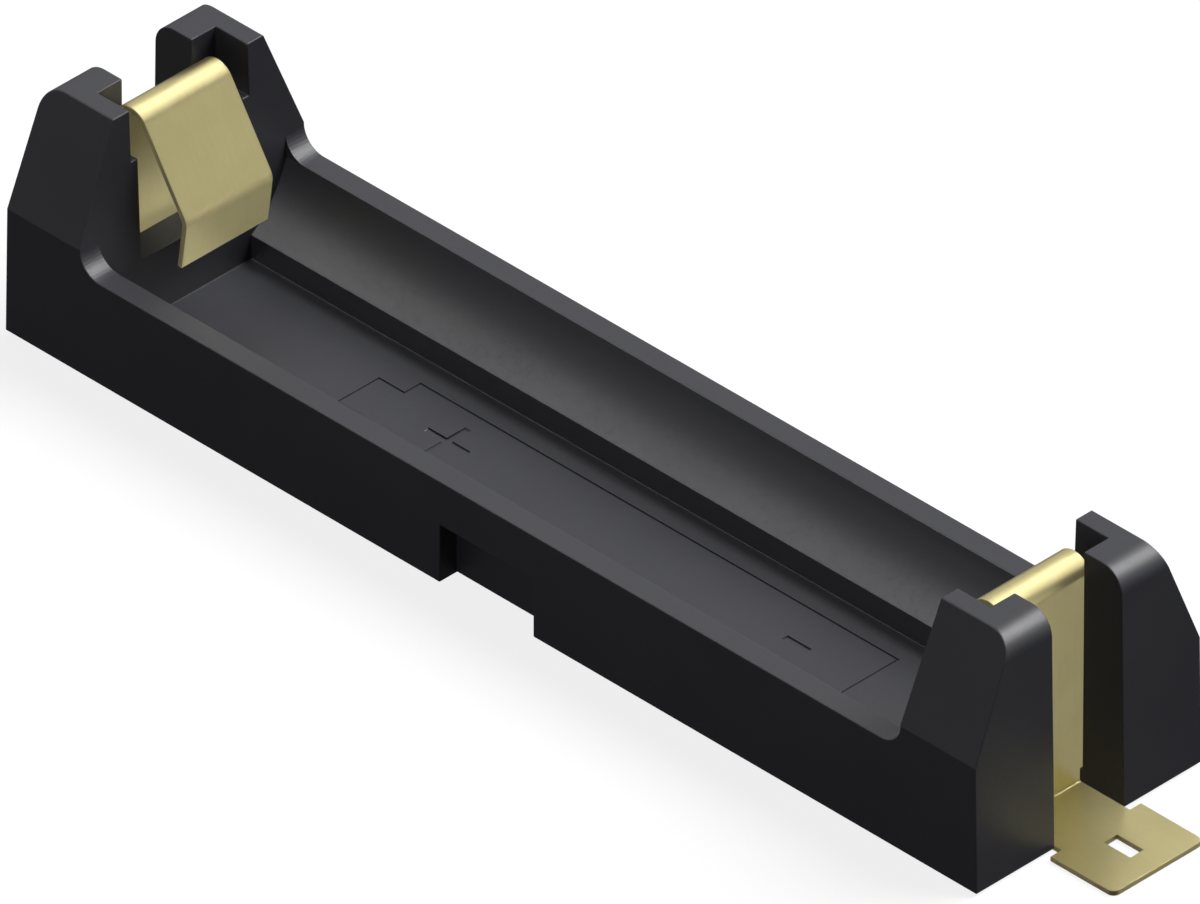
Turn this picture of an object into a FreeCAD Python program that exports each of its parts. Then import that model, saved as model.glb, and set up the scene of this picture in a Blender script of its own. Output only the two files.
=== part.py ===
import FreeCAD, Part
import math
import os

Vector = FreeCAD.Vector

# A surface-mount holder for one small cylindrical cell: a moulded open cradle with a
# slotted tower at each end, and a folded spring contact standing in each tower.
# +X runs along the cell towards its negative end, +Y to the back and +Z up.
# The origin is under the middle of the body, level with the undersides of the solder feet.
# Lengths are in millimetres and angles in degrees.

# The cell
cell_length = 44.5
cell_diameter = 10.5

# Body: cradle, floor and rails, with heights taken from the underside of the body
end_reach = 5.25             # body beyond each end of the cell
cradle_clearance = 0.35      # between the cell and the cradle
floor_thickness = 1.0
floor_gap = 0.5              # between the cell and the floor
floor_width = 6.35
rail_height = 4.92
rail_land = 1.09             # flat top of a rail, across the body
side_draft = 0.2

# Body: end towers
tower_height = 11.28
tower_depth = 4.13           # along the body, at the top
tower_draft = 1.9
shoulder_inset = 2.15        # how far the sloping sides lean in by the top
end_draft = 1.2
top_round = 1.1
rail_fillet = 1.1

# Body: the bay for a contact in each tower
end_wall = 2.32
groove_depth = 0.62
rib_step = 0.375             # the ribs stand in from the sides of the groove
rib_top_drop = 2.48          # from the top of the tower to the top of the ribs
ledge_height = 3.9
heel_pad_height = 0.65
heel_pad_thickness = 0.15
bay_side_gap = 0.5           # between the leaf and each rib
slot_clearance = 0.1         # between the neck and each side of the slot

# Body: notches in the long sides
notch_length = 5.3
notch_height = 2.8
notch_depth = 1.0

# Contacts: folded strip, with radii on the face that tops the foot and looks at the cell
strip_thickness = 0.25
strip_width = 4.9
leg_gap = 0.1                # between the end wall and the leg
contact_drop = 0.66          # from the top of the tower to the top of the contact
crease_lean = 26.0
crease_radius = 0.3
crease_flat = 0.03
roll_radius = 0.95
leaf_lean = 32.3
kink_radius = 0.73
kink_drop = 0.32             # from the cell's axis to the corner of the kink
tail_lean = 7.7
tail_length = 2.31

# Contacts: solder foot, neck and barbs
foot_stand_off = 0.15        # the body stands this far above the board
foot_length = 3.52
foot_width = 5.12
foot_gap = 0.35              # between the end of the body and the foot's wide part
foot_corner = 0.35
neck_width = 3.71
neck_clearance = 0.05        # between the strip's shoulders and the heel pads
heel_radius = 0.1
hole_length = 1.46
hole_width = 0.74
hole_setback = 0.83          # from the foot's inner edge to the hole
barb_count = 2
barb_clearance = 0.02
barb_land = 0.3              # flat tip of a barb

# Values that follow from these
cell_radius = cell_diameter / 2
cradle_radius = cell_radius + cradle_clearance
body_length = cell_length + 2 * end_reach
half_length = body_length / 2

base_z = foot_stand_off
floor_z = base_z + floor_thickness
cell_axis_z = floor_z + floor_gap + cell_radius
rail_z = base_z + rail_height
shoulder_z = rail_z + rail_fillet
tower_z = base_z + tower_height
ledge_z = base_z + ledge_height
rib_top_z = tower_z - rib_top_drop

rail_inner = math.sqrt(cradle_radius ** 2 - (cell_axis_z - rail_z) ** 2)
half_width = rail_inner + rail_land
side_slope = math.tan(math.radians(side_draft))
end_slope = math.tan(math.radians(end_draft))
tower_slope = math.tan(math.radians(tower_draft))

bay_width = strip_width + 2 * bay_side_gap
groove_width = bay_width + 2 * rib_step
slot_width = neck_width + 2 * slot_clearance
leg_x = end_wall + leg_gap
contact_top_z = tower_z - contact_drop
kink_z = cell_axis_z - kink_drop

over = 1.0                   # how far a cut runs past the face that it opens


def block(x_low, x_high, half_y, z_low, z_high):
    """Box centred across the body."""
    corner = Vector(x_low, -half_y, z_low)
    return Part.makeBox(x_high - x_low, 2 * half_y, z_high - z_low, corner)


def corner_arc(before, corner, after, radius):
    """Start, middle and end of the arc that rounds a corner."""
    back = (before - corner).normalize()
    forward = (after - corner).normalize()
    half_angle = back.getAngle(forward) / 2
    setback = radius / math.tan(half_angle)
    bisector = (back + forward).normalize()
    middle = corner + bisector * (radius / math.sin(half_angle) - radius)
    return corner + back * setback, middle, corner + forward * setback


def rounded_face(corners):
    """Flat face through (point, radius) corners, sharp where the radius is 0."""
    arcs = []
    for i, (point, radius) in enumerate(corners):
        before = corners[i - 1][0]
        after = corners[(i + 1) % len(corners)][0]
        if radius > 0:
            arcs.append(corner_arc(before, point, after, radius))
        else:
            arcs.append((point, None, point))
    edges = []
    for i, (start, middle, end) in enumerate(arcs):
        if middle is not None:
            edges.append(Part.Arc(start, middle, end).toShape())
        edges.append(Part.makeLine(end, arcs[(i + 1) % len(arcs)][0]))
    return Part.Face(Part.Wire(edges))


def across(face):
    """Solid from a face in the XZ plane, run across the whole width."""
    reach = half_width + over
    face.translate(Vector(0, -reach, 0))
    return face.extrude(Vector(0, 2 * reach, 0))


def along(face):
    """Solid from a face in the YZ plane, run along the whole length."""
    reach = half_length + over
    face.translate(Vector(-reach, 0, 0))
    return face.extrude(Vector(2 * reach, 0, 0))


def both_ends(solid):
    """The solid at the -X end with its copy at the +X end."""
    turned = solid.copy()
    turned.rotate(Vector(0, 0, 0), Vector(0, 0, 1), 180)
    return solid.fuse(turned)


def tower_face_x(z):
    """Distance from the middle to a tower's face at the height z."""
    return half_length - tower_depth - (tower_z - z) * tower_slope


def end_view():
    """Section of the body across its length: draughted sides and leaning shoulders."""
    shoulder_y = half_width - (shoulder_z - base_z) * side_slope
    top_y = half_width - shoulder_inset
    right = [(half_width, base_z), (shoulder_y, shoulder_z), (top_y, tower_z)]
    left = [(-y, z) for y, z in reversed(right)]
    return rounded_face([(Vector(0, y, z), 0) for y, z in right + left])


def side_view():
    """Outline of the body from the side, without the dip between the towers."""
    top_x = half_length - tower_height * end_slope
    corners = [
        (Vector(-half_length, 0, base_z), 0),
        (Vector(half_length, 0, base_z), 0),
        (Vector(top_x, 0, tower_z), top_round),
        (Vector(-top_x, 0, tower_z), top_round),
    ]
    return rounded_face(corners)


def dip(bottom_z, fillet):
    """Space between the two towers, down to a height, with rounded lower corners."""
    top = tower_z + over
    corners = [
        (Vector(-tower_face_x(bottom_z), 0, bottom_z), fillet),
        (Vector(tower_face_x(bottom_z), 0, bottom_z), fillet),
        (Vector(tower_face_x(top), 0, top), 0),
        (Vector(-tower_face_x(top), 0, top), 0),
    ]
    return across(rounded_face(corners))


def cradle_section():
    """Hollow for the cell across the body: a round cradle over a flat-floored channel."""
    lip_y = floor_width / 2
    lip_z = cell_axis_z - math.sqrt(cradle_radius ** 2 - lip_y ** 2)
    side_y = (rail_inner + lip_y) / 2
    side_z = cell_axis_z - math.sqrt(cradle_radius ** 2 - side_y ** 2)
    top = tower_z + over

    def point(y, z):
        return Vector(0, y, z)

    edges = []
    for sign in (-1, 1):
        rim = point(sign * rail_inner, rail_z)
        lip = point(sign * lip_y, lip_z)
        foot = point(sign * lip_y, floor_z)
        edges.append(Part.makeLine(point(sign * rail_inner, top), rim))
        edges.append(Part.Arc(rim, point(sign * side_y, side_z), lip).toShape())
        edges.append(Part.makeLine(lip, foot))
    edges.append(Part.makeLine(point(-lip_y, floor_z), point(lip_y, floor_z)))
    edges.append(Part.makeLine(point(-rail_inner, top), point(rail_inner, top)))
    return Part.Face(Part.Wire(Part.__sortEdges__(edges)))


def contact_bay():
    """Space for the contact in the -X tower: slot, groove, ribs and open mouth."""
    outer_x = -half_length - over
    wall_x = -half_length + end_wall
    rib_x = wall_x + groove_depth
    mouth_x = -half_length + tower_depth + over
    low = base_z - over
    high = tower_z + over
    pad_z = base_z + heel_pad_height
    slot = block(outer_x, rib_x, slot_width / 2, low, high)
    groove = block(wall_x, rib_x, groove_width / 2, pad_z, high)
    heel = block(wall_x + heel_pad_thickness, rib_x, groove_width / 2, low, high)
    bay = block(wall_x, mouth_x, bay_width / 2, ledge_z, high)
    mouth = block(wall_x, mouth_x, groove_width / 2, rib_top_z, high)
    return slot.fuse([groove, heel, bay, mouth])


def side_notches():
    """Notches in the lower edge of both long sides."""
    inner_y = half_width - notch_depth
    low = base_z - over
    notch = Part.makeBox(notch_length, notch_depth + over, notch_height + over,
                         Vector(-notch_length / 2, inner_y, low))
    return both_ends(notch)


def holder_body():
    """The moulded body, in one piece."""
    body = along(end_view()).common(across(side_view()))
    body = body.cut(dip(rail_z, rail_fillet))
    body = body.cut(along(cradle_section()).common(dip(floor_z - over, 0)))
    body = body.cut(both_ends(contact_bay()))
    body = body.cut(side_notches())
    return body.removeSplitter().Solids[0]


class FoldedStrip:
    """Edge view of a strip, drawn along one face from its start, fold by fold."""

    def __init__(self, start, thickness):
        self.face = start
        self.heading = 0.0
        self.thickness = thickness
        self.face_edges = []
        self.back_edges = []
        self.first_cap = Part.makeLine(self.face, self.back())

    def direction(self, turn=0.0):
        angle = math.radians(self.heading + turn)
        return Vector(math.cos(angle), 0, math.sin(angle))

    def back(self):
        return self.face + self.direction(-90) * self.thickness

    def straight(self, length):
        old_face, old_back = self.face, self.back()
        self.face = old_face + self.direction() * length
        self.face_edges.append(Part.makeLine(old_face, self.face))
        self.back_edges.append(Part.makeLine(old_back, self.back()))

    def bend(self, angle, radius):
        """Turn by an angle, positive to the left, with this radius on the drawn face."""
        side = math.copysign(90, angle)
        centre = self.face + self.direction(side) * radius
        faces, backs = [self.face], [self.back()]
        for _ in range(2):
            self.heading += angle / 2
            self.face = centre - self.direction(side) * radius
            faces.append(self.face)
            backs.append(self.back())
        self.face_edges.append(Part.Arc(*faces).toShape())
        self.back_edges.append(Part.Arc(*backs).toShape())

    def section(self):
        last_cap = Part.makeLine(self.face, self.back())
        edges = [self.first_cap] + self.face_edges + [last_cap] + self.back_edges
        return Part.Face(Part.Wire(Part.__sortEdges__(edges)))


def contact_section():
    """Edge view of the -X contact: foot, heel, leg, crease, roll, leaf, kink and tail."""
    lean = math.radians(crease_lean)
    leaf = math.radians(leaf_lean)
    kink_angle = leaf_lean + tail_lean
    kink_setback = kink_radius * math.tan(math.radians(kink_angle) / 2)

    tip_x = -half_length - foot_gap - foot_length
    heel_x = -half_length + leg_x - heel_radius
    leg_low = strip_thickness + heel_radius
    roll_rise = roll_radius * (1 - math.sin(lean))
    crease_rise = crease_radius * math.sin(lean) + crease_flat * math.cos(lean)
    leaf_top = contact_top_z - roll_radius * (1 - math.sin(leaf))

    strip = FoldedStrip(Vector(tip_x, 0, strip_thickness), strip_thickness)
    strip.straight(heel_x - tip_x)
    strip.bend(90, heel_radius)
    strip.straight(contact_top_z - roll_rise - crease_rise - leg_low)
    strip.bend(-crease_lean, crease_radius)
    strip.straight(crease_flat)
    strip.bend(crease_lean + leaf_lean - 180, roll_radius)
    strip.straight((leaf_top - kink_z) / math.cos(leaf) - kink_setback)
    strip.bend(-kink_angle, kink_radius)
    strip.straight(tail_length - kink_setback)
    return strip.section()


def foot_plate():
    """Plan of the solder foot's wide part, with its outer corners rounded."""
    inner_x = -half_length - foot_gap
    outer_x = inner_x - foot_length
    half = foot_width / 2
    corners = [
        (Vector(inner_x, -half, -over), 0),
        (Vector(inner_x, half, -over), 0),
        (Vector(outer_x, half, -over), foot_corner),
        (Vector(outer_x, -half, -over), foot_corner),
    ]
    return rounded_face(corners).extrude(Vector(0, 0, 2 * over))


def foot_hole():
    """Rectangular hole in the middle of the solder foot."""
    inner_x = -half_length - foot_gap - hole_setback
    return block(inner_x - hole_length, inner_x, hole_width / 2, -over, over)


def barbs(low_z, high_z):
    """Barbs on both edges of the leg, low in the groove, that bite its sides."""
    root_y = strip_width / 2
    tip_y = groove_width / 2 - barb_clearance
    back_x = -half_length + leg_x + strip_thickness
    pitch = (high_z - low_z) / barb_count
    solids = []
    for i in range(barb_count):
        low = low_z + i * pitch
        high = low + pitch - barb_land
        for sign in (-1, 1):
            corners = [
                (Vector(back_x, 0, low), 0),
                (Vector(back_x, sign * root_y, low), 0),
                (Vector(back_x, sign * tip_y, high - barb_land), 0),
                (Vector(back_x, sign * tip_y, high), 0),
                (Vector(back_x, 0, high), 0),
            ]
            solids.append(rounded_face(corners).extrude(Vector(-strip_thickness, 0, 0)))
    return solids


def contact():
    """The contact at the -X end: a folded strip trimmed to the outline of its blank."""
    foot_x = -half_length - foot_gap
    middle_x = 0
    neck_top = base_z + heel_pad_height + neck_clearance
    folded = contact_section()
    folded.translate(Vector(0, -half_width, 0))
    folded = folded.extrude(Vector(0, 2 * half_width, 0))
    neck = block(foot_x - foot_length / 2, middle_x, neck_width / 2, -over, neck_top)
    upper = block(foot_x, middle_x, strip_width / 2, neck_top, tower_z)
    outline = foot_plate().fuse([neck, upper] + barbs(neck_top, ledge_z))
    trimmed = folded.common(outline).cut(foot_hole())
    return trimmed.removeSplitter().Solids[0]


def main():
    """Write one STEP file for each piece."""
    os.makedirs("parts", exist_ok=True)
    positive = contact()
    negative = positive.copy()
    negative.rotate(Vector(0, 0, 0), Vector(0, 0, 1), 180)
    holder_body().exportStep("parts/holder_body.step")
    positive.exportStep("parts/positive_contact.step")
    negative.exportStep("parts/negative_contact.step")


main()
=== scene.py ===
import math
import bmesh
import bpy
from mathutils import Matrix, Vector


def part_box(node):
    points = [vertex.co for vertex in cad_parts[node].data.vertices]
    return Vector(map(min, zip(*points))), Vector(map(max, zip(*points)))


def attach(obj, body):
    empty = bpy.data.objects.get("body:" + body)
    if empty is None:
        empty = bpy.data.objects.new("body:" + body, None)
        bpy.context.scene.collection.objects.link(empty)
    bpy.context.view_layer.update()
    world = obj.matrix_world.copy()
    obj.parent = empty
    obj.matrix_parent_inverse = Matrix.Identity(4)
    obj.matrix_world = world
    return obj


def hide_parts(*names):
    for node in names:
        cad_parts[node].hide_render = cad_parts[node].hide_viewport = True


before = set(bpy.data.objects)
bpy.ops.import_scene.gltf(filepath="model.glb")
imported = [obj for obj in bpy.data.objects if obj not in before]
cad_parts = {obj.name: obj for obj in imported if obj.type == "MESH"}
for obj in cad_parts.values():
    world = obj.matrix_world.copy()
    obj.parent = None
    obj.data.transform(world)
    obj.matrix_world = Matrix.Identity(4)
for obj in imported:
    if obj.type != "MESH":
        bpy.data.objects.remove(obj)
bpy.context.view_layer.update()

# A holder for one small cylindrical cell: a black moulded cradle with two folded, gold-plated
# spring contacts. Pieces are made in millimetres and set to metres when they are finished.
MM = 0.001
body_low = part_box("holder_body")[0] / MM
contact_low, contact_high = (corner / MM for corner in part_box("positive_contact"))

# The cradle, in millimetres
floor_thickness = 1.0
edge_break = 0.04
rail_height = 5.07
blend_start_x = 22.09        # where the rails start to rise into the towers
blend_inner_y = 5.29         # inner edge of the faces that rise there
blend_margin = 0.01
weld = 0.0005                # points nearer than this become one
flat_angle = 0.3             # degrees between facets of one flat face
sharp_angle = 15.0           # degrees past which two faces meet in a crisp edge
break_angle = 28.0           # degrees past which that edge is broken

# The marks in the cradle's floor
mark_depth = 0.07
marks_y = -0.27
outline_width = 0.1
outline_nub_x = -13.42
outline_shoulder_x = -11.97
outline_end_x = 15.04
outline_half_width = 2.08
nub_half_width = 1.17
sign_width = 0.32
plus_x = -8.38
plus_length = 2.4
minus_x = 11.43
minus_length = 1.35

# The contact's strip and its folds, on the face that tops the foot and looks at the cell
strip_thickness = 0.25
strip_width = 4.9
leg_inset = 2.42             # from the end of the body to the leg
heel_radius = 0.1
crease_lean = 26.0
crease_radius = 0.3
crease_flat = 0.03
roll_radius = 0.95
leaf_lean = 32.3
kink_height = 6.58
kink_radius = 0.73
tail_lean = 7.7
tail_length = 2.31
fold_step = 5.0              # degrees of each facet round a fold
path_steps = 48              # points round each fold of the path

# The contact's blank: foot, neck, barbs and stamped edges
foot_length = 3.52
foot_width = 5.12
foot_corner = 0.35
neck_width = 3.89            # nearly fills the slot, so that no floor shows beside it
shoulder_height = 0.85
hole_length = 1.46
hole_width = 0.74
hole_setback = 0.83
barb_top = 4.05
barb_count = 2
barb_land = 0.3
corner_steps = 8
stamped_round = 0.03
strip_sharp_angle = 50.0     # degrees past which two faces of the strip meet in a crisp edge
cut_margin = 1e-5
level_margin = 1e-6
rim_angle = 1.0              # radians between the faces at a stamped edge

# The plastic and the plating: two tones that drift into each other, in linear colour
plastic_tones = ((0.0195, 0.0200, 0.0270, 1), (0.0235, 0.0240, 0.0310, 1))
plastic_patch = 6.0
plastic_grain = 0.09
gold_tones = ((0.76, 0.67, 0.335, 1), (0.80, 0.71, 0.36, 1))
gold_patch = 2.5
gold_grain = 0.05
worn_gold = (0.50, 0.43, 0.21, 1)
# a darker gold painted on the strip's cut edges as shade
edge_shade_gold = (0.50, 0.43, 0.22, 1)
bump_height = 0.01

# Camera: a long lens far off. Azimuths run from +X towards +Y, in degrees
lens = 1250.0
sensor = 36
view_azimuth = -45.0
view_elevation = 35.264
view_distance = 1.66637
view_aim = Vector((0.0455, 0.0, 4.692)) * MM

# How bright the floor and the room are, where 1 is white
floor_reach = 4.0
floor_glow = 0.8             # to the camera, which the lamps on floor_tone bring up to white
floor_gloss = 0.06           # in the reflections of the pieces
floor_tone = (0.2, 0.2, 0.2, 1)            # the part that darkens in the shadow
floor_bounce = (0.02, 0.02, 0.02, 1)       # the same, as it lights the pieces
wall_gloss = 0.55            # in reflections, low on the wall and half way between front and back
wall_tilt = 0.25             # how much brighter that is at the back, and dimmer at the front
wall_top = 0.5               # sine of the elevation at which the wall's glow ends
wall_full = 0.22             # and of the one below which it is full
room_grey = 0.07

# Lamps: name, azimuth, elevation, the level that a face turned to it gets, and its width in degrees
back_lamp = ("back_lamp", 135, 45, 0.08, 40)
left_lamp = ("left_lamp", -142, 45, 0.28, 36)
key_lamp = ("key_lamp", 61, 49, 1.2, 44)
contact_lamps = [
    ("contact_key_lamp", 71, 48, 0.245, 51),
    ("contact_top_lamp", 110, 60, 0.13, 40),
    ("contact_bounce_lamp", 42, -27, 0.083, 56),
    ("contact_left_lamp", -135, 32, 0.16, 50),
    ("contact_far_bounce_lamp", -138, -27, 0.045, 56),
]


def add_node(tree, kind, settings=None, inputs=None):
    """A node with its settings, and its inputs linked or set."""
    node = tree.nodes.new(kind)
    for name, value in (settings or {}).items():
        setattr(node, name, value)
    for name, value in (inputs or {}).items():
        if isinstance(value, bpy.types.NodeSocket):
            tree.links.new(value, node.inputs[name])
        else:
            node.inputs[name].default_value = value
    return node


def new_tree(name, kind, inputs, outputs):
    """A node tree with named sockets: the tree, what goes in and where it comes out."""
    tree = bpy.data.node_groups.new(name, kind)
    for label, socket, value in inputs:
        item = tree.interface.new_socket(label, in_out="INPUT", socket_type=socket)
        if value is not None:
            item.default_value = value
    for label, socket in outputs:
        tree.interface.new_socket(label, in_out="OUTPUT", socket_type=socket)
    entry = tree.nodes.new("NodeGroupInput")
    end = tree.nodes.new("NodeGroupOutput")
    return tree, entry.outputs, end.inputs


def math_node(tree, operation, first, second=None):
    """The result of one sum."""
    inputs = {0: first}
    if second is not None:
        inputs[1] = second
    return add_node(tree, "ShaderNodeMath", {"operation": operation}, inputs).outputs[0]


def vector_node(tree, operation, first, second):
    """The result of one sum on vectors."""
    node = add_node(tree, "ShaderNodeVectorMath", {"operation": operation}, {0: first, 1: second})
    return node.outputs["Vector"]


def mixed_colour(tree, share, first, second):
    """A colour between two, by the share of the second."""
    inputs = {0: share, 6: first, 7: second}
    return add_node(tree, "ShaderNodeMix", {"data_type": "RGBA"}, inputs).outputs[2]


def new_object(name, data):
    """An object in the scene."""
    made = bpy.data.objects.new(name, data)
    bpy.context.scene.collection.objects.link(made)
    return made


def give_tree(piece, tree, values):
    """Puts a Geometry Nodes tree on a piece, with its named inputs set."""
    modifier = piece.modifiers.new(tree.name, "NODES")
    modifier.node_group = tree
    for item in tree.interface.items_tree:
        if item.name in values:
            modifier[item.identifier] = values[item.name]


def settled_mesh(working):
    """The working object's shape as a plain mesh, its modifiers carried out and removed."""
    graph = bpy.context.evaluated_depsgraph_get()
    mesh = bpy.data.meshes.new_from_object(working.evaluated_get(graph))
    working.modifiers.clear()
    return mesh


def settle(working, sharp):
    """Makes the working shape plain: curved faces soft, flat faces flat, edges past an angle crisp."""
    mesh = settled_mesh(working)
    shape = bmesh.new()
    shape.from_mesh(mesh)
    bmesh.ops.remove_doubles(shape, verts=shape.verts, dist=weld)
    bmesh.ops.dissolve_degenerate(shape, dist=weld, edges=shape.edges)
    shape.to_mesh(mesh)
    shape.free()
    mesh.shade_smooth()
    mesh.set_sharp_from_angle(angle=math.radians(sharp))
    working.data = mesh
    weighted = working.modifiers.new("weighted_normals", "WEIGHTED_NORMAL")
    weighted.keep_sharp = True
    working.data = settled_mesh(working)


def finished(name, working, turn=0.0):
    """A piece in metres from a working shape, turned about the upright axis."""
    mesh = working.data.copy()
    mesh.transform(Matrix.Rotation(turn, 4, "Z") @ Matrix.Scale(MM, 4))
    while None in mesh.materials[:]:
        mesh.materials.pop(index=mesh.materials[:].index(None))
    mesh.name = name
    return new_object(name, mesh)


def stored(tree, geometry, name, value, kind, domain):
    """Geometry that keeps a value under a name."""
    return add_node(tree, "GeometryNodeStoreNamedAttribute", {"data_type": kind, "domain": domain}, {
        "Geometry": geometry, "Name": name, "Value": value}).outputs[0]


def made_real(tree, geometry, material):
    """The end of a Geometry Nodes tree: one real mesh in one material."""
    real = add_node(tree, "GeometryNodeRealizeInstances", None, {"Geometry": geometry})
    return add_node(tree, "GeometryNodeSetMaterial", None, {
        "Geometry": real.outputs[0], "Material": material}).outputs[0]


# Surface effects
def tone_drift_group():
    """Slow unevenness of a surface: a colour between two tones, and a roughness."""
    inputs = [
        ("Place", "NodeSocketVector", None),
        ("Tone", "NodeSocketColor", None),
        ("Other Tone", "NodeSocketColor", None),
        ("Patch Size", "NodeSocketFloat", 4.0),
        ("Roughness", "NodeSocketFloat", 0.4),
        ("Roughness Change", "NodeSocketFloat", 0.05),
    ]
    outputs = [("Colour", "NodeSocketColor"), ("Roughness", "NodeSocketFloat")]
    tree, given, out = new_tree("tone_drift", "ShaderNodeTree", inputs, outputs)
    scale = math_node(tree, "DIVIDE", 1.0, given["Patch Size"])
    patches = add_node(tree, "ShaderNodeTexNoise", None, {
        "Vector": given["Place"], "Scale": scale, "Detail": 3.0, "Roughness": 0.55})
    share = add_node(tree, "ShaderNodeMapRange", None, {
        "Value": patches.outputs["Fac"], "From Min": 0.35, "From Max": 0.65})
    colour = mixed_colour(tree, share.outputs[0], given["Tone"], given["Other Tone"])
    swing = math_node(tree, "SUBTRACT", share.outputs[0], 0.5)
    change = math_node(tree, "MULTIPLY", swing, given["Roughness Change"])
    tree.links.new(colour, out["Colour"])
    tree.links.new(math_node(tree, "ADD", given["Roughness"], change), out["Roughness"])
    return tree


def fine_grain_group():
    """Fine tooled texture: a height for bump, and a mask of its hollows."""
    inputs = [
        ("Place", "NodeSocketVector", None),
        ("Grain Size", "NodeSocketFloat", 0.1),
        ("Coarse Share", "NodeSocketFloat", 0.4),
    ]
    outputs = [("Height", "NodeSocketFloat"), ("Hollows", "NodeSocketFloat")]
    tree, given, out = new_tree("fine_grain", "ShaderNodeTree", inputs, outputs)
    scale = math_node(tree, "DIVIDE", 1.0, given["Grain Size"])
    fine = add_node(tree, "ShaderNodeTexNoise", None, {
        "Vector": given["Place"], "Scale": scale, "Detail": 2.0, "Roughness": 0.6})
    coarse = add_node(tree, "ShaderNodeTexNoise", None, {
        "Vector": given["Place"], "Scale": math_node(tree, "MULTIPLY", scale, 0.3), "Detail": 1.0})
    height = add_node(tree, "ShaderNodeMix", None, {
        0: given["Coarse Share"], 2: fine.outputs["Fac"], 3: coarse.outputs["Fac"]})
    hollows = add_node(tree, "ShaderNodeMapRange", None, {
        "Value": height.outputs[0], "From Min": 0.5, "From Max": 0.3})
    tree.links.new(height.outputs[0], out["Height"])
    tree.links.new(hollows.outputs[0], out["Hollows"])
    return tree


def new_material(name):
    """A material with an empty Principled shader: the material, its tree and the shader."""
    material = bpy.data.materials.new(name)
    material.use_nodes = True
    tree = material.node_tree
    return material, tree, tree.nodes["Principled BSDF"]


def group_node(tree, group, inputs):
    """A shader group placed in a material with its own values."""
    return add_node(tree, "ShaderNodeGroup", {"node_tree": group}, inputs).outputs


def black_moulding(tone_drift, fine_grain):
    """Black moulded plastic with a fine satin texture."""
    material, tree, shader = new_material("black_moulding")
    coordinates = add_node(tree, "ShaderNodeTexCoord")
    place = add_node(tree, "ShaderNodeMapping", None, {
        "Vector": coordinates.outputs["Object"], "Scale": (1 / MM,) * 3}).outputs[0]
    drift = group_node(tree, tone_drift, {
        "Place": place, "Tone": plastic_tones[0], "Other Tone": plastic_tones[1],
        "Patch Size": plastic_patch, "Roughness": 0.455, "Roughness Change": 0.03})
    grain = group_node(tree, fine_grain, {
        "Place": place, "Grain Size": plastic_grain, "Coarse Share": 0.35})
    bump = add_node(tree, "ShaderNodeBump", None, {
        "Height": grain["Height"], "Strength": 0.25, "Distance": bump_height * MM})
    dull = math_node(tree, "MULTIPLY", grain["Hollows"], 0.08)
    roughness = math_node(tree, "ADD", drift["Roughness"], dull)
    tree.links.new(drift["Colour"], shader.inputs["Base Color"])
    tree.links.new(roughness, shader.inputs["Roughness"])
    tree.links.new(bump.outputs[0], shader.inputs["Normal"])
    shader.inputs["Specular IOR Level"].default_value = 0.8
    return material


def gold_plated_strip(tone_drift, fine_grain):
    """Satin gold plating over rolled spring strip, with its grain along the strip, and painted shade on
    its cut edges.
    """
    material, tree, shader = new_material("gold_plated_strip")
    flat = add_node(tree, "ShaderNodeAttribute", {"attribute_name": "flat_place"}).outputs["Vector"]
    along = add_node(tree, "ShaderNodeMapping", None, {
        "Vector": flat, "Scale": (0.06, 1.0, 1.0)}).outputs[0]
    drift = group_node(tree, tone_drift, {
        "Place": flat, "Tone": gold_tones[0], "Other Tone": gold_tones[1],
        "Patch Size": gold_patch, "Roughness": 0.38, "Roughness Change": 0.03})
    lines = group_node(tree, fine_grain, {
        "Place": along, "Grain Size": gold_grain, "Coarse Share": 0.3})
    sheared = add_node(tree, "ShaderNodeAttribute", {"attribute_name": "sheared"}).outputs["Fac"]
    wear = math_node(tree, "MULTIPLY", lines["Hollows"], 0.12)
    worn = mixed_colour(tree, wear, drift["Colour"], worn_gold)
    # the cut edges take the darker gold: painted shade
    colour = mixed_colour(tree, sheared, worn, edge_shade_gold)
    bump = add_node(tree, "ShaderNodeBump", None, {
        "Height": lines["Height"], "Strength": 0.2, "Distance": bump_height * MM})
    tree.links.new(colour, shader.inputs["Base Color"])
    tree.links.new(drift["Roughness"], shader.inputs["Roughness"])
    tree.links.new(bump.outputs[0], shader.inputs["Normal"])
    shader.inputs["Metallic"].default_value = 1.0
    return material


# The moulded cradle
def broken_edges(shape):
    """The moulding's crisp edges, without those round the pointed inner faces of the blends."""
    edges = []
    for edge in shape.edges:
        middle = (edge.verts[0].co + edge.verts[1].co) / 2
        beside = abs(abs(middle.y) - blend_inner_y) < blend_margin
        pointed = beside and middle.z > rail_height - weld and abs(middle.x) > blend_start_x
        if edge.calc_face_angle(0) > math.radians(break_angle) and not pointed:
            edges.append(edge)
    return edges


def cradle_blank():
    """A working copy of the moulding, with each flat face in one piece and its edges broken."""
    shape = bmesh.new()
    shape.from_mesh(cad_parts["holder_body"].data)
    bmesh.ops.scale(shape, vec=(1 / MM,) * 3, verts=shape.verts)
    bmesh.ops.remove_doubles(shape, verts=shape.verts, dist=weld)
    bmesh.ops.dissolve_limit(shape, angle_limit=math.radians(flat_angle),
                             verts=shape.verts, edges=shape.edges)
    bmesh.ops.bevel(shape, geom=broken_edges(shape), offset=edge_break, segments=2, profile=0.5,
                    affect="EDGES")
    mesh = bpy.data.meshes.new("cradle_blank")
    shape.to_mesh(mesh)
    shape.free()
    return new_object("cradle_blank", mesh)


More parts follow.
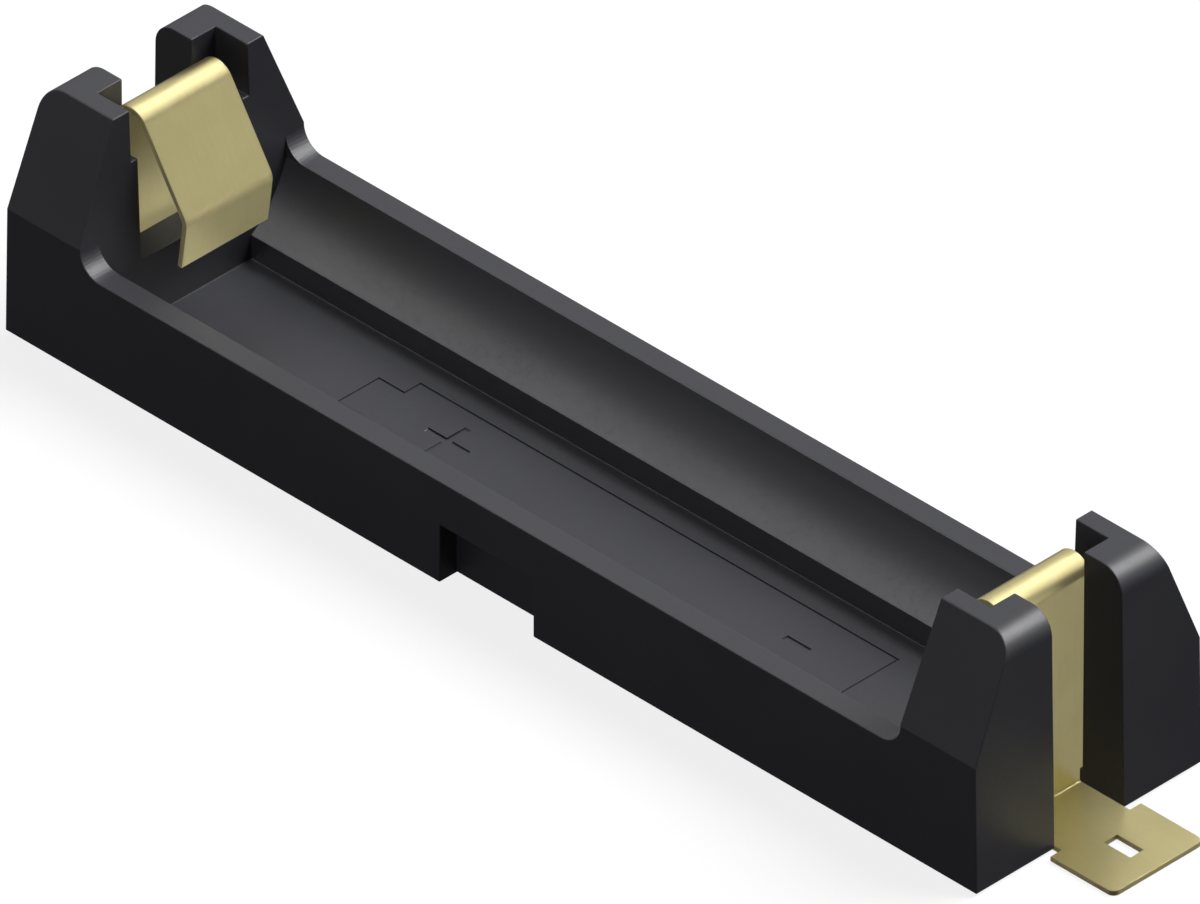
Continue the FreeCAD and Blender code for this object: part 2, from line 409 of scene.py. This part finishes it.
def stroke_lines(name, lines, height):
    """Straight strokes on the floor, each a pair of (x, y) ends."""
    mesh = bpy.data.meshes.new(name)
    places = [(x, y, height) for line in lines for x, y in line]
    mesh.from_pydata(places, [(i, i + 1) for i in range(0, len(places), 2)], [])
    return new_object(name, mesh)


def outline_strokes():
    """The cell's outline: a long body with a nub at its positive end."""
    side = [(outline_nub_x, nub_half_width), (outline_shoulder_x, nub_half_width),
            (outline_shoulder_x, outline_half_width), (outline_end_x, outline_half_width)]
    corners = [(x, marks_y + y) for x, y in side] + [(x, marks_y - y) for x, y in reversed(side)]
    return list(zip(corners, corners[1:] + corners[:1]))


def sign_strokes():
    """The plus and minus signs at their own ends of the outline."""
    plus = (plus_length - sign_width) / 2
    minus = (minus_length - sign_width) / 2
    return [
        ((plus_x - plus, marks_y), (plus_x + plus, marks_y)),
        ((plus_x, marks_y - plus), (plus_x, marks_y + plus)),
        ((minus_x - minus, marks_y), (minus_x + minus, marks_y)),
    ]


def engrave_tree():
    """Cuts a straight-sided stroke into a piece along each edge of a drawing."""
    inputs = [
        ("Geometry", "NodeSocketGeometry", None),
        ("Drawing", "NodeSocketObject", None),
        ("Line Width", "NodeSocketFloat", 0.2),
        ("Depth", "NodeSocketFloat", 0.1),
        ("Material", "NodeSocketMaterial", None),
    ]
    outputs = [("Geometry", "NodeSocketGeometry")]
    tree, given, out = new_tree("engrave", "GeometryNodeTree", inputs, outputs)
    drawing = add_node(tree, "GeometryNodeObjectInfo", None, {"Object": given["Drawing"]})
    ends = add_node(tree, "GeometryNodeInputMeshEdgeVertices").outputs
    run = vector_node(tree, "SUBTRACT", ends["Position 2"], ends["Position 1"])
    marked = stored(tree, drawing.outputs["Geometry"], "run", run, "FLOAT_VECTOR", "EDGE")
    points = add_node(tree, "GeometryNodeMeshToPoints", {"mode": "EDGES"}, {"Mesh": marked})
    run = add_node(tree, "GeometryNodeInputNamedAttribute", {"data_type": "FLOAT_VECTOR"}, {
        "Name": "run"}).outputs[0]
    turned = add_node(tree, "FunctionNodeAlignRotationToVector", {"axis": "X"}, {"Vector": run})
    length = add_node(tree, "ShaderNodeVectorMath", {"operation": "LENGTH"}, {0: run}).outputs["Value"]
    size = add_node(tree, "ShaderNodeCombineXYZ", None, {
        "X": math_node(tree, "ADD", length, given["Line Width"]),
        "Y": given["Line Width"],
        "Z": math_node(tree, "MULTIPLY", given["Depth"], 2.0)})
    cutters = add_node(tree, "GeometryNodeInstanceOnPoints", None, {
        "Points": points.outputs[0], "Instance": add_node(tree, "GeometryNodeMeshCube").outputs["Mesh"],
        "Rotation": turned.outputs[0], "Scale": size.outputs[0]})
    real = add_node(tree, "GeometryNodeRealizeInstances", None, {"Geometry": cutters.outputs[0]})
    cut = add_node(tree, "GeometryNodeMeshBoolean", {"operation": "DIFFERENCE", "solver": "EXACT"}, {
        "Mesh 1": given["Geometry"], "Mesh 2": real.outputs[0], "Self Intersection": True})
    tree.links.new(made_real(tree, cut.outputs["Mesh"], given["Material"]), out["Geometry"])
    return tree


def moulded_cradle(material):
    """The moulding with its engraved marks."""
    working = cradle_blank()
    engrave = engrave_tree()
    floor_height = body_low.z + floor_thickness
    drawings = [
        (stroke_lines("cell_outline", outline_strokes(), floor_height), outline_width),
        (stroke_lines("polarity_signs", sign_strokes(), floor_height), sign_width),
    ]
    for drawing, width in drawings:
        give_tree(working, engrave, {
            "Drawing": drawing, "Line Width": width, "Depth": mark_depth, "Material": material})
    settle(working, sharp_angle)
    piece = finished("moulded_cradle", working)
    for used in [working] + [drawing for drawing, _ in drawings]:
        bpy.data.objects.remove(used)
    return piece


# The folded contacts
def heading(angle):
    """Direction in the XZ plane at an angle from +X, in degrees."""
    return Vector((math.cos(math.radians(angle)), 0, math.sin(math.radians(angle))))


def fold_corners():
    """Corners of the strip before they are rounded, each with its radius."""
    lean = math.radians(crease_lean)
    leaf = math.radians(leaf_lean)
    crease_setback = crease_radius * math.tan(lean / 2)
    roll_setback = roll_radius * math.tan((math.pi - lean - leaf) / 2)
    crease_rise = crease_radius * math.sin(lean) + crease_flat * math.cos(lean)
    crease_start = contact_high.z - roll_radius * (1 - math.sin(lean)) - crease_rise
    leg_x = body_low.x + leg_inset
    tip = Vector((contact_low.x, 0, strip_thickness))
    heel = Vector((leg_x, 0, strip_thickness))
    crease = Vector((leg_x, 0, crease_start + crease_setback))
    roll = crease + heading(90 - crease_lean) * (crease_setback + crease_flat + roll_setback)
    kink = roll + heading(leaf_lean - 90) * (roll.z - kink_height) / math.cos(leaf)
    end = kink + heading(-90 - tail_lean) * tail_length
    radii = [0, heel_radius, crease_radius, roll_radius, kink_radius, 0]
    return list(zip([tip, heel, crease, roll, kink, end], radii))


def fold_spans(corners):
    """Where each fold starts and ends along the strip, its turn, and the strip's length."""
    spans = []
    reached = 0.0
    setback = 0.0
    for (before, _), (corner, radius), (after, _) in zip(corners, corners[1:], corners[2:]):
        turn = (corner - before).angle(after - corner)
        start = reached + (corner - before).length - setback - radius * math.tan(turn / 2)
        setback = radius * math.tan(turn / 2)
        reached = start + radius * turn
        spans.append((start, reached, turn))
    return spans, reached + (corners[-1][0] - corners[-2][0]).length - setback


def blank_side(heel_end, length):
    """One long side of the blank as (along, out) points, from the tip of the foot."""
    shoulder = heel_end + shoulder_height - strip_thickness - heel_radius
    points = []
    for i in range(corner_steps + 1):
        angle = math.pi / 2 * i / corner_steps
        along = foot_corner * (1 - math.cos(angle))
        points.append((along, foot_width / 2 - foot_corner * (1 - math.sin(angle))))
    points += [(foot_length, foot_width / 2), (foot_length, neck_width / 2), (shoulder, neck_width / 2)]
    pitch = (barb_top - shoulder_height) / barb_count
    for i in range(barb_count):
        low = shoulder + i * pitch
        high = low + pitch - barb_land
        points += [(low, strip_width / 2), (high - barb_land, contact_high.y),
                   (high, contact_high.y), (high, strip_width / 2)]
    return points + [(length, strip_width / 2)]


def cross_cuts(spans):
    """Places along the strip where a fold needs an edge across it."""
    places = []
    for start, end, turn in spans:
        steps = math.ceil(math.degrees(turn) / fold_step)
        places += [start + (end - start) * i / steps for i in range(steps + 1)]
    return places


def cut_across(shape, place, normal):
    """Adds an edge across every face that a plane crosses."""
    bmesh.ops.bisect_plane(shape, geom=shape.verts[:] + shape.edges[:] + shape.faces[:],
                           dist=cut_margin, plane_co=place, plane_no=normal)


def contact_blank():
    """The stamped blank before folding: lengths along X, widths along Y, its face at Z 0."""
    spans, length = fold_spans(fold_corners())
    side = blank_side(spans[0][1], length)
    outline = side + [(along, -out) for along, out in reversed(side)]
    hole_start = foot_length - hole_setback - hole_length
    hole_end = foot_length - hole_setback
    shape = bmesh.new()
    shape.faces.new([shape.verts.new((along, out, 0)) for along, out in outline])
    for along in cross_cuts(spans) + [hole_start, hole_end]:
        cut_across(shape, (along, 0, 0), (1, 0, 0))
    for out in (-hole_width / 2, hole_width / 2):
        cut_across(shape, (0, out, 0), (0, 1, 0))
    centres = [(face, face.calc_center_median()) for face in shape.faces]
    hole = [face for face, place in centres
            if hole_start < place.x < hole_end and abs(place.y) < hole_width / 2]
    bmesh.ops.delete(shape, geom=hole, context="FACES")
    lower = bmesh.ops.extrude_face_region(shape, geom=shape.faces[:], use_keep_orig=True)["geom"]
    moved = [item for item in lower if isinstance(item, bmesh.types.BMVert)]
    bmesh.ops.translate(shape, verts=moved, vec=(0, 0, -strip_thickness))
    bmesh.ops.recalc_face_normals(shape, faces=shape.faces[:])
    level = [edge for edge in shape.edges
             if abs(edge.verts[0].co.z - edge.verts[1].co.z) < level_margin]
    rims = [edge for edge in level if edge.calc_face_angle(0) > rim_angle]
    bmesh.ops.bevel(shape, geom=rims, offset=stamped_round, segments=2, profile=0.5, affect="EDGES")
    mesh = bpy.data.meshes.new("contact_blank")
    shape.to_mesh(mesh)
    shape.free()
    return new_object("contact_blank", mesh)


def fold_path():
    """The strip's path as a line of corners whose curve radius is the radius of the fold."""
    curve = bpy.data.curves.new("fold_path", "CURVE")
    curve.dimensions = "3D"
    corners = fold_corners()
    line = curve.splines.new("POLY")
    line.points.add(len(corners) - 1)
    for point, (place, radius) in zip(line.points, corners):
        point.co = (*place, 1)
        point.radius = radius
    return new_object("fold_path", curve)


def fold_tree():
    """Folds a flat blank along a path, and keeps its flat place and its sheared edges."""
    inputs = [
        ("Geometry", "NodeSocketGeometry", None),
        ("Path", "NodeSocketObject", None),
        ("Fold Steps", "NodeSocketInt", 32),
        ("Material", "NodeSocketMaterial", None),
    ]
    outputs = [("Geometry", "NodeSocketGeometry")]
    tree, given, out = new_tree("fold_strip", "GeometryNodeTree", inputs, outputs)
    path = add_node(tree, "GeometryNodeObjectInfo", None, {"Object": given["Path"]})
    rounded = add_node(tree, "GeometryNodeFilletCurve", {"mode": "POLY"}, {
        "Curve": path.outputs["Geometry"], "Count": given["Fold Steps"],
        "Radius": add_node(tree, "GeometryNodeInputRadius").outputs[0]})
    flat = add_node(tree, "GeometryNodeInputPosition").outputs[0]
    normal = add_node(tree, "ShaderNodeSeparateXYZ", None, {
        0: add_node(tree, "GeometryNodeInputNormal").outputs["Normal"]}).outputs
    sheared = math_node(tree, "SUBTRACT", 1.0, math_node(tree, "ABSOLUTE", normal["Z"]))
    kept = stored(tree, given["Geometry"], "sheared", sheared, "FLOAT", "FACE")
    kept = stored(tree, kept, "flat_place", flat, "FLOAT_VECTOR", "POINT")
    flat = add_node(tree, "ShaderNodeSeparateXYZ", None, {0: flat}).outputs
    line = add_node(tree, "GeometryNodeSampleCurve", {"mode": "LENGTH", "use_all_curves": True}, {
        "Curves": rounded.outputs[0], "Length": flat["X"]})
    across = (0.0, 1.0, 0.0)
    outward = vector_node(tree, "CROSS_PRODUCT", line.outputs["Tangent"], across)
    raised = add_node(tree, "ShaderNodeVectorMath", {"operation": "SCALE"}, {
        0: outward, "Scale": flat["Z"]})
    sideways = add_node(tree, "ShaderNodeCombineXYZ", None, {"Y": flat["Y"]})
    place = vector_node(tree, "ADD", line.outputs["Position"], raised.outputs[0])
    place = vector_node(tree, "ADD", place, sideways.outputs[0])
    folded = add_node(tree, "GeometryNodeSetPosition", None, {"Geometry": kept, "Position": place})
    tree.links.new(made_real(tree, folded.outputs[0], given["Material"]), out["Geometry"])
    return tree


def spring_contacts(material):
    """Both contacts, folded from one blank: the second is the first turned round."""
    working = contact_blank()
    path = fold_path()
    give_tree(working, fold_tree(), {"Path": path, "Fold Steps": path_steps, "Material": material})
    settle(working, strip_sharp_angle)
    pieces = [
        finished("positive_spring_contact", working),
        finished("negative_spring_contact", working, math.pi),
    ]
    for used in (working, path):
        bpy.data.objects.remove(used)
    return pieces


# Studio
def point_inwards(made, azimuth, elevation):
    """Turns a camera or lamp to look inwards from a direction, and returns that direction."""
    azimuth = math.radians(azimuth)
    elevation = math.radians(elevation)
    level = math.cos(elevation)
    direction = Vector((math.cos(azimuth) * level, math.sin(azimuth) * level, math.sin(elevation)))
    made.rotation_euler = (-direction).to_track_quat("-Z", "Y").to_euler()
    return direction


def camera():
    """A long lens at the photograph's own angle."""
    data = bpy.data.cameras.new("camera")
    data.lens = lens
    data.sensor_width = sensor
    data.clip_start = 0.1
    data.clip_end = 10
    made = new_object("camera", data)
    made.location = view_aim + point_inwards(made, view_azimuth, view_elevation) * view_distance
    bpy.context.scene.camera = made


def lamp(name, azimuth, elevation, level, spread):
    """A distant round softbox: its direction, the level it gives a face turned to it, and its width."""
    data = bpy.data.lights.new(name, "SUN")
    data.energy = level * math.pi
    data.angle = math.radians(spread)
    made = new_object(name, data)
    point_inwards(made, azimuth, elevation)
    return made


def group_of(name, pieces, state="INCLUDE"):
    """A collection that tells lamps which pieces they are for, or which they leave out."""
    group = bpy.data.collections.new(name)
    for piece in pieces:
        group.objects.link(piece)
    for member in group.collection_objects:
        member.light_linking.link_state = state
    return group


def link_lamps(lamps, lit=None, blocking=None):
    """Lamps that light one group only, or are blocked by one group only, where one is given."""
    for made in lamps:
        made.light_linking.receiver_collection = lit
        made.light_linking.blocker_collection = blocking
        if blocking:
            # Cycles dims a lamp with its own blockers unless this is off
            made.data.cycles.use_multiple_importance_sampling = False


def floor_material():
    """White to the camera with a pale shadow, dim in reflections, and clear from below."""
    material = bpy.data.materials.new("studio_floor")
    material.use_nodes = True
    tree = material.node_tree
    tree.nodes.clear()
    rays = add_node(tree, "ShaderNodeLightPath").outputs
    seen = math_node(tree, "ADD", rays["Is Camera Ray"], rays["Is Transmission Ray"])
    glow = math_node(tree, "MULTIPLY", seen, floor_glow)
    gloss = math_node(tree, "MULTIPLY", rays["Is Glossy Ray"], floor_gloss)
    white = add_node(tree, "ShaderNodeEmission", None, {
        "Color": (1, 1, 1, 1), "Strength": math_node(tree, "ADD", glow, gloss)})
    tone = mixed_colour(tree, seen, floor_bounce, floor_tone)
    grey = add_node(tree, "ShaderNodeBsdfDiffuse", None, {"Color": tone})
    both = add_node(tree, "ShaderNodeAddShader", None, {0: white.outputs[0], 1: grey.outputs[0]})
    clear = add_node(tree, "ShaderNodeBsdfTransparent")
    under = add_node(tree, "ShaderNodeNewGeometry").outputs["Backfacing"]
    shown = add_node(tree, "ShaderNodeMixShader", None, {
        0: under, 1: both.outputs[0], 2: clear.outputs[0]})
    output = add_node(tree, "ShaderNodeOutputMaterial")
    tree.links.new(shown.outputs[0], output.inputs["Surface"])
    return material


def studio_floor():
    """A wide, plain floor under the piece."""
    mesh = bpy.data.meshes.new("studio_floor")
    signs = ((-1, -1), (1, -1), (1, 1), (-1, 1))
    mesh.from_pydata([(floor_reach * x, floor_reach * y, 0) for x, y in signs], [], [(0, 1, 2, 3)])
    mesh.materials.append(floor_material())
    new_object("studio_floor", mesh)


def studio_world():
    """A dim room, white to the camera, whose walls glow in reflections."""
    world = bpy.data.worlds.new("studio")
    bpy.context.scene.world = world
    world.use_nodes = True
    tree = world.node_tree
    tree.nodes.clear()
    rays = add_node(tree, "ShaderNodeLightPath").outputs
    direction = add_node(tree, "ShaderNodeTexCoord").outputs["Generated"]
    direction = add_node(tree, "ShaderNodeSeparateXYZ", None, {0: direction}).outputs
    level = add_node(tree, "ShaderNodeMapRange", None, {
        "Value": direction["Y"], "From Min": -1.0, "From Max": 1.0,
        "To Min": wall_gloss - wall_tilt, "To Max": wall_gloss + wall_tilt})
    wall = add_node(tree, "ShaderNodeMapRange", None, {
        "Value": direction["Z"], "From Min": wall_top, "From Max": wall_full})
    wall = math_node(tree, "MULTIPLY", wall.outputs[0], level.outputs[0])
    gloss = math_node(tree, "MULTIPLY", rays["Is Glossy Ray"], wall)
    seen = math_node(tree, "ADD", rays["Is Camera Ray"], rays["Is Transmission Ray"])
    glow = math_node(tree, "ADD", seen, gloss)
    room = add_node(tree, "ShaderNodeBackground", None, {"Color": (room_grey,) * 3 + (1,)})
    white = add_node(tree, "ShaderNodeBackground", None, {"Color": (1, 1, 1, 1)})
    shown = add_node(tree, "ShaderNodeMixShader", None, {
        0: glow, 1: room.outputs[0], 2: white.outputs[0]})
    output = add_node(tree, "ShaderNodeOutputWorld")
    tree.links.new(shown.outputs[0], output.inputs["Surface"])


def studio_lamps(cradle, contacts):
    """Lamps for the moulding and the floor, and softer ones for the contacts alone."""
    only_contacts = group_of("contacts", contacts)
    not_contacts = group_of("all_but_contacts", contacts, "EXCLUDE")
    not_pieces = group_of("all_but_pieces", [cradle] + contacts, "EXCLUDE")
    lamp(*back_lamp)
    link_lamps([lamp(*key_lamp)], lit=not_contacts)
    link_lamps([lamp(*left_lamp)], lit=not_contacts, blocking=not_pieces)
    link_lamps([lamp(*settings) for settings in contact_lamps],
               lit=only_contacts, blocking=only_contacts)


camera()
studio_floor()
studio_world()

tone_drift = tone_drift_group()
fine_grain = fine_grain_group()
plastic = black_moulding(tone_drift, fine_grain)
gold = gold_plated_strip(tone_drift, fine_grain)

cradle = moulded_cradle(plastic)
positive, negative = spring_contacts(gold)
studio_lamps(cradle, [positive, negative])
for piece, node, slot in ((cradle, "holder_body", "moulded_body"),
                          (positive, "positive_contact", "plated_contact"),
                          (negative, "negative_contact", "plated_contact")):
    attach(piece, "root")
    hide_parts(node)

bpy.context.scene.view_settings.view_transform = "Standard"
